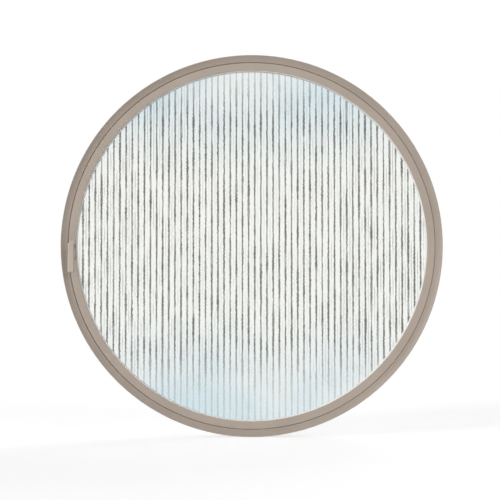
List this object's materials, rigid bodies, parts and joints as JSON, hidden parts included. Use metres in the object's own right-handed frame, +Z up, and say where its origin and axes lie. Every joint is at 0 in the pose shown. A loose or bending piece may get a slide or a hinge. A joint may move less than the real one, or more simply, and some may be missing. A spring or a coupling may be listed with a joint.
{
  "type": "round pivot window",
  "caption": "Round vertical-pivot window: taupe aluminium ring frame, ring sash with reeded glass that turns on top and bottom pivots, and a lever latch on the swinging edge.",
  "frame": {"origin": "centre of the round window, where the vertical pivot axis crosses the axis of the ring", "axes": "+X right and +Z up as seen from the room, +Y towards outdoors along the ring's axis"},
  "size_m": [1.2999, 0.105, 1.2999],
  "materials": {
    "frame_coat": "satin taupe powder coat on rolled aluminium",
    "sash_coat": "satin taupe powder coat on rolled aluminium",
    "handle_coat": "satin taupe powder coat on cast aluminium",
    "pale_gasket": "matt pale grey",
    "dark_seal": "matt dark grey",
    "reeded_glass": "clear rolled glass, reeded on the room face",
    "steel": "stainless, satin",
    "bronze": "turned bronze",
    "packing_plastic": "moulded, matt"
  },
  "bodies": {
    "frame": {"outer_frame": "frame_coat", "exterior_stop": "frame_coat", "exterior_stop_screws": "steel", "exterior_seal": "dark_seal", "interior_seal": "dark_seal", "top_pivot_housing": "steel", "bottom_pivot_housing": "steel", "top_pivot_bush": "bronze", "bottom_pivot_bush": "bronze", "pivot_housing_screws": "steel", "keeper_plate": "steel", "keeper_screws": "steel"},
    "sash": {"sash_ring": "sash_coat", "sash_lip": "sash_coat", "sash_lip_screws": "steel", "glazing_bead": "sash_coat", "inner_gasket": "pale_gasket", "outer_gasket": "pale_gasket", "reeded_pane": "reeded_glass", "setting_blocks": "packing_plastic", "location_blocks": "packing_plastic", "top_pivot_block": "steel", "bottom_pivot_block": "steel", "top_pivot_pin": "steel", "bottom_pivot_pin": "steel", "pivot_block_screws": "steel", "handle_rose": "handle_coat", "rose_screws": "steel"},
    "handle": {"handle_lever": "handle_coat", "spindle": "steel", "cam_tongue": "steel", "tongue_screw": "steel", "lever_grub_screw": "steel"}
  },
  "joints": [
    {"name": "sash_pivot", "type": "hinge", "parent": "frame", "child": "sash", "pos_m": [0, 0, 0], "axis": [0, 0, 1], "range_deg": [0, 90]},
    {"name": "handle_turn", "type": "hinge", "parent": "sash", "child": "handle", "pos_m": [-0.61078, 0, 0], "axis": [0, -1, 0], "range_deg": [0, 90]}
  ]
}
